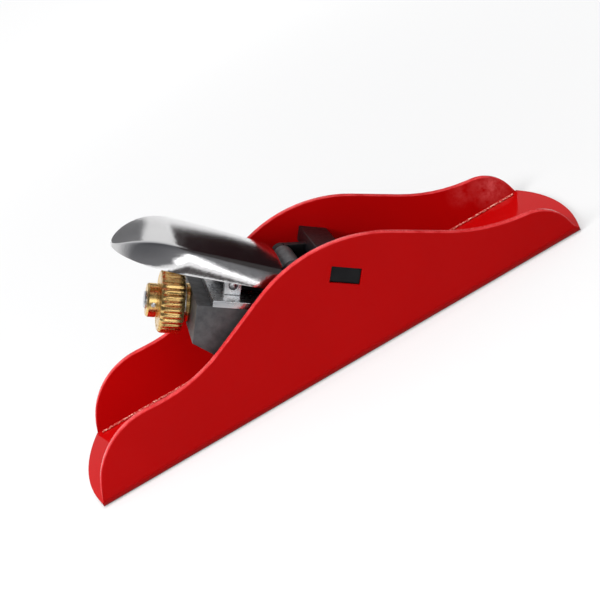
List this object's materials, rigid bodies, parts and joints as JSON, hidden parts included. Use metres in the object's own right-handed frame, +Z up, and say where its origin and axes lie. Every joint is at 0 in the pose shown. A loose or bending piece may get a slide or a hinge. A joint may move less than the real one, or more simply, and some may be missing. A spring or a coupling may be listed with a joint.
{
  "type": "palm plane",
  "caption": "One-hand palm plane: bent steel channel body with lobed side walls, chrome palm lever that clamps a thin blade on a sloping bed, and a knurled wheel that feeds the blade.",
  "frame": {"origin": "middle of the bounding box, on the plane of the sole", "axes": "+X towards the toe, +Y across the body, +Z up from the sole"},
  "size_m": [0.1574, 0.047, 0.0577],
  "materials": {
    "red_paint": "glossy red powder coat",
    "chrome": "polished plating",
    "black_steel": "black oxide, satin",
    "dark_steel": "dark grey phosphate, matt",
    "zinc_steel": "bright zinc plating",
    "blade_steel": "ground steel",
    "spring_steel": "blued spring steel",
    "brass": "turned brass"
  },
  "bodies": {
    "base": {"body_channel": "red_paint", "frog": "dark_steel", "frog_screws": "zinc_steel", "frog_nuts": "zinc_steel", "bridge": "black_steel", "lever_axle": "zinc_steel", "axle_clips": "black_steel", "guide_studs": "zinc_steel", "spindle_bush": "brass"},
    "lever": {"palm_lever": "chrome", "lever_cam": "dark_steel"},
    "feed": {"feed_spindle": "zinc_steel", "feed_wheel": "brass", "wheel_pin": "zinc_steel", "thrust_washer": "zinc_steel", "spindle_clip": "black_steel"},
    "carrier": {"blade_carrier": "zinc_steel", "blade": "blade_steel", "blade_pins": "zinc_steel", "clamp_pivot": "zinc_steel", "lift_spring": "spring_steel", "spring_rivet": "zinc_steel", "drive_nut": "brass", "nut_screws": "zinc_steel"},
    "clamp": {"clamp_plate": "black_steel"}
  },
  "joints": [
    {"name": "lever_open", "type": "hinge", "parent": "base", "child": "lever", "pos_m": [0.0015, 0, 0.02655], "axis": [0, 1, 0], "range_deg": [0, 70]},
    {"name": "wheel_turn", "type": "hinge", "parent": "base", "child": "feed", "pos_m": [-0.03252, 0, 0.03416], "axis": [0.809, 0, -0.5878], "range_deg": [-900, 540]},
    {"name": "blade_feed", "type": "slide", "parent": "base", "child": "carrier", "axis": [0.809, 0, -0.5878], "range_m": [-0.002, 0.0012]},
    {"name": "clamp_lift", "type": "hinge", "parent": "carrier", "child": "clamp", "pos_m": [-0.01484, 0, 0.03299], "axis": [0, -1, 0], "range_deg": [0, 1.8]}
  ],
  "couplings": [
    {"joint": "wheel_turn", "follows": "blade_feed", "rad_per_m": 7853.9},
    {"joint": "clamp_lift", "follows": "lever_open", "ratio": 0.0257}
  ]
}
